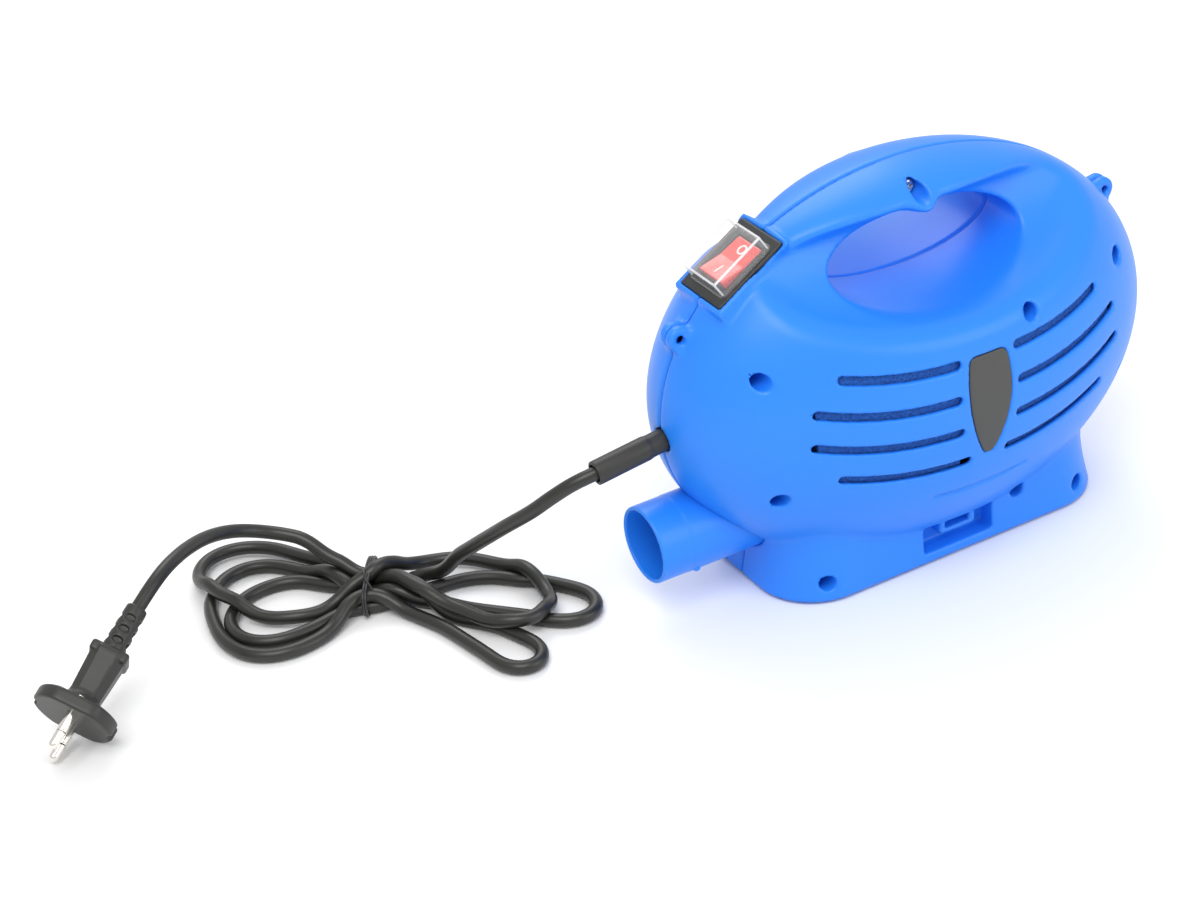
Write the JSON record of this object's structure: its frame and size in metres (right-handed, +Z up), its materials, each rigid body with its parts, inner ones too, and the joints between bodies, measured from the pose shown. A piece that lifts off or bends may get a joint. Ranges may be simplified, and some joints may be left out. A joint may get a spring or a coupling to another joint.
{
  "type": "turbine air blower",
  "caption": "Mains-powered turbine blower base unit: egg-shaped two-part casing with grip hole, air outlet pipe, rocker switch and tied mains cord with plug.",
  "frame": {"origin": "on the floor under the middle of the body, at the centre of the foot", "axes": "+X along the body away from the air outlet, +Y towards the rear shell, +Z up"},
  "size_m": [0.5709, 0.253, 0.1981],
  "materials": {
    "body_plastic": "satin gloss",
    "badge_plastic": "matte",
    "black_plastic": "satin",
    "clear_boot": "clear flexible cover",
    "red_plastic": "translucent gloss",
    "cord_rubber": "satin",
    "pad_rubber": "matte",
    "plated_steel": "plated",
    "nickel": "bright nickel plate",
    "clamp_nylon": "matte",
    "wire_sleeve": "satin",
    "film_yellow": "gloss",
    "lamination": "laminated",
    "copper_wire": "enamelled",
    "copper_bar": "turned",
    "brass_sheet": "plain",
    "carbon": "matte",
    "die_cast": "as cast",
    "pressed_aluminium": "pressed",
    "dark_moulding": "satin",
    "foam": "open-cell foam"
  },
  "bodies": {
    "body": {"housing_front": "body_plastic", "housing_rear": "body_plastic", "housing_screws": "plated_steel", "foot_pads": "pad_rubber", "outlet_pipe": "body_plastic", "badge_front": "badge_plastic", "badge_rear": "badge_plastic", "switch_bezel": "black_plastic", "switch_body": "black_plastic", "switch_boot": "clear_boot", "switch_terminals": "plated_steel", "cord_sleeve": "cord_rubber", "cord_clamp": "clamp_nylon", "clamp_screws": "plated_steel", "cord_lead": "cord_rubber", "cord_hank": "cord_rubber", "cord_tail": "cord_rubber", "cord_tie": "black_plastic", "plug_body": "cord_rubber", "plug_pins": "nickel", "supply_wires": "wire_sleeve", "capacitor": "film_yellow", "stator_core": "lamination", "field_coils": "copper_wire", "brush_frame": "dark_moulding", "drive_frame": "die_cast", "frame_bolts": "plated_steel", "brush_holders": "brass_sheet", "carbon_brushes": "carbon", "rear_bearing": "plated_steel", "front_bearing": "plated_steel", "fan_can": "pressed_aluminium", "diffuser": "pressed_aluminium", "air_duct": "dark_moulding", "rear_mount_ring": "pad_rubber", "front_mount_ring": "pad_rubber", "motor_saddles": "body_plastic", "filter_front": "foam", "filter_rear": "foam"},
    "rotor": {"rotor_shaft": "plated_steel", "armature_core": "lamination", "armature_windings": "copper_wire", "commutator": "copper_bar", "impeller_inner": "pressed_aluminium", "impeller_outer": "pressed_aluminium", "fan_nut": "plated_steel"},
    "rocker_body": {"rocker": "red_plastic"}
  },
  "joints": [
    {"name": "rotor_spin", "type": "hinge", "parent": "body", "child": "rotor", "pos_m": [0, 0, 0.078], "axis": [1, 0, 0], "continuous": true},
    {"name": "rocker_tilt", "type": "hinge", "parent": "body", "child": "rocker_body", "pos_m": [-0.08879, 0, 0.16842], "axis": [0, -1, 0], "range_deg": [0, 20]}
  ]
}
